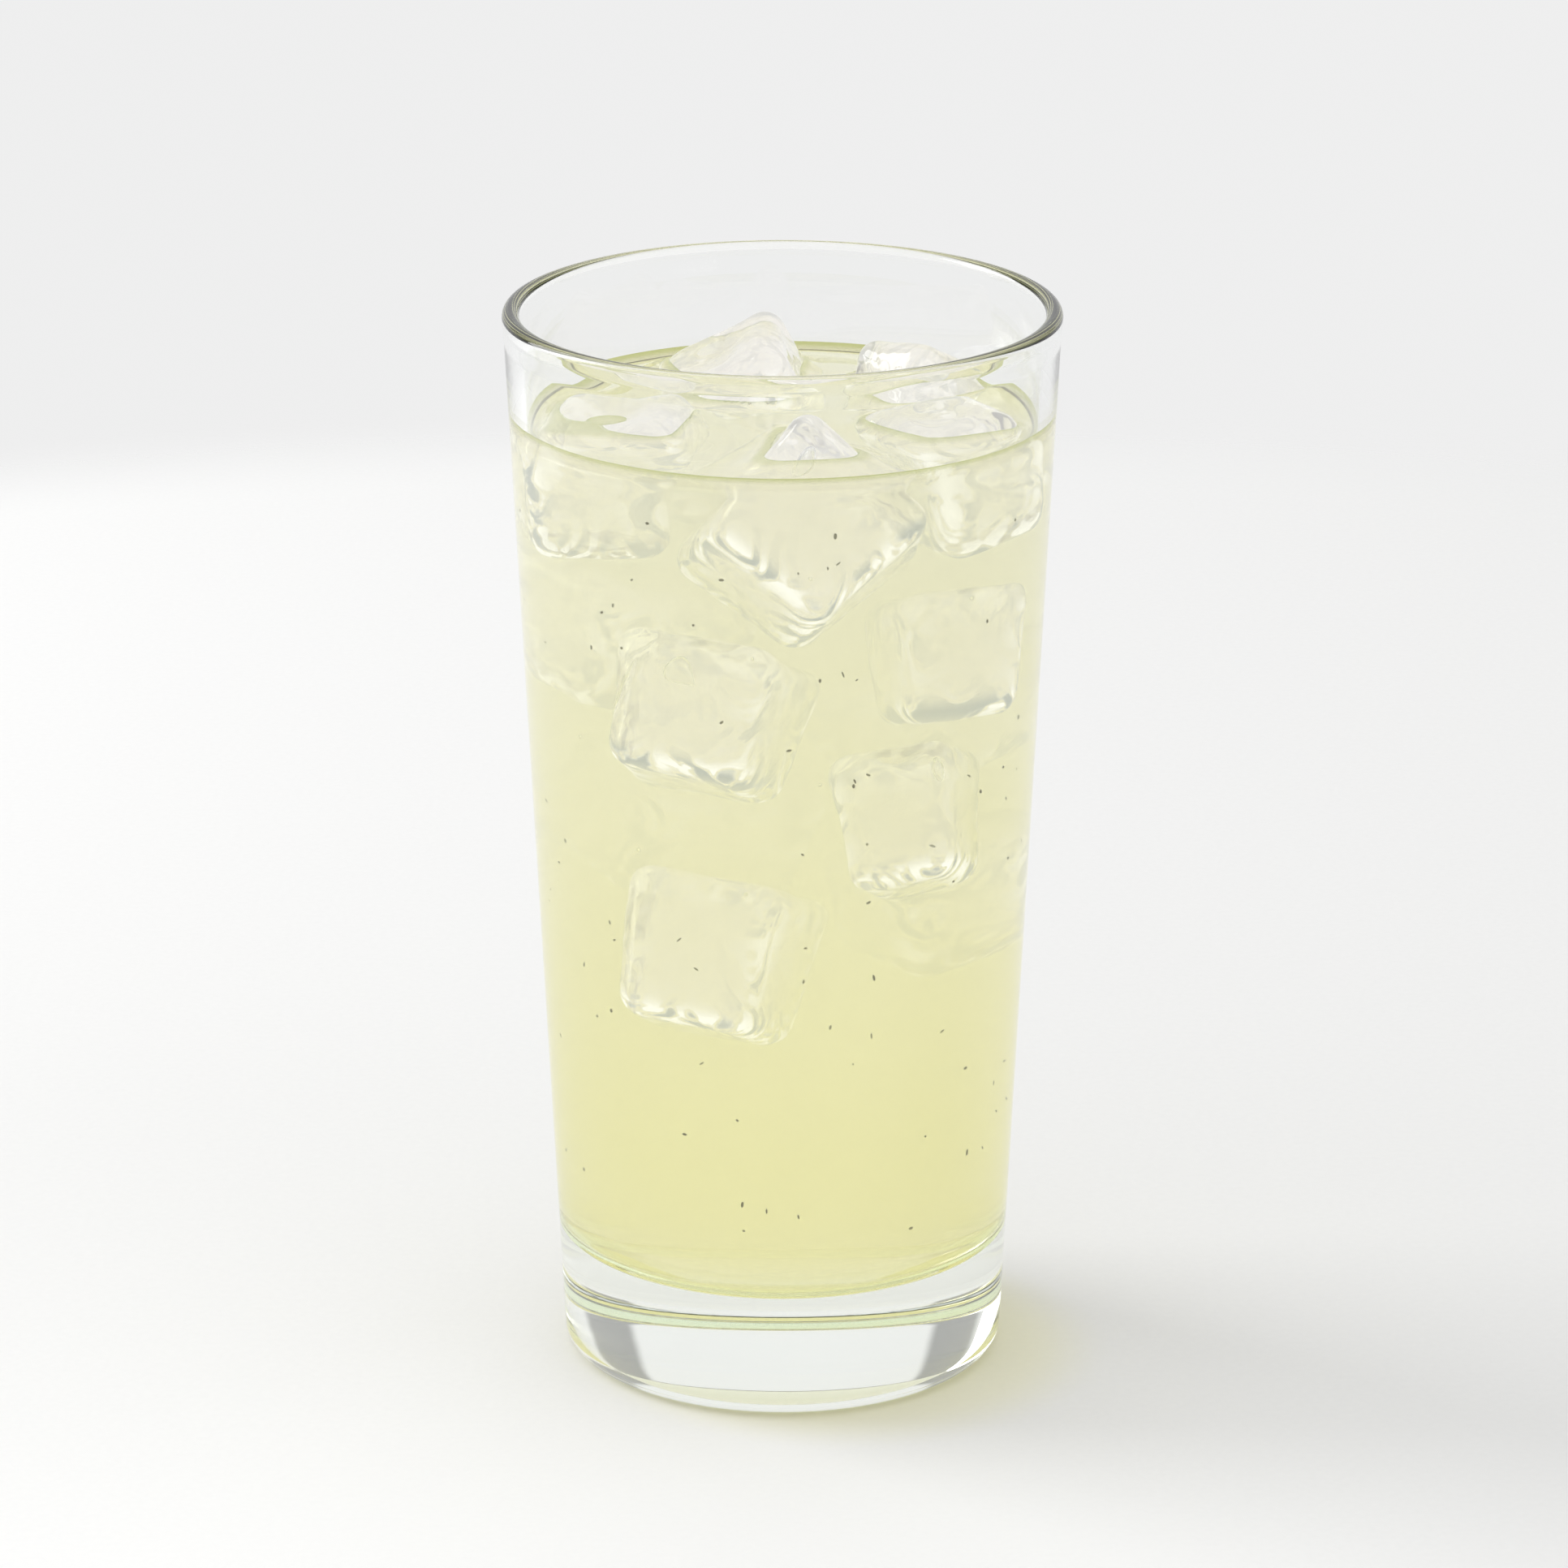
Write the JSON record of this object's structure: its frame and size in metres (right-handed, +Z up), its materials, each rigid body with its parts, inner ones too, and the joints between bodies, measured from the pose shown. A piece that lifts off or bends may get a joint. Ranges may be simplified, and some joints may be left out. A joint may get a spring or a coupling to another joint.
{
  "type": "glass of lemonade",
  "caption": "Tall tumbler filled with cloudy lemonade, with clear ice cubes floating at the surface; stands on its flat base.",
  "frame": {"origin": "centre of the ring that the glass stands on", "axes": "+Z up along the glass's axis, -Y towards the viewer's side of the drink, +X to that viewer's right"},
  "size_m": [0.076, 0.076, 0.1503],
  "materials": {
    "glass": "clear polished soda-lime glass",
    "lemonade": "cloudy pale yellow drink, wet surface",
    "ice": "clear wet ice"
  },
  "bodies": {
    "root": {"glass": "glass", "lemonade": "lemonade", "ice_back": "ice", "ice_back_right": "ice", "ice_right": "ice", "ice_front": "ice", "ice_left": "ice"}
  },
  "joints": []
}
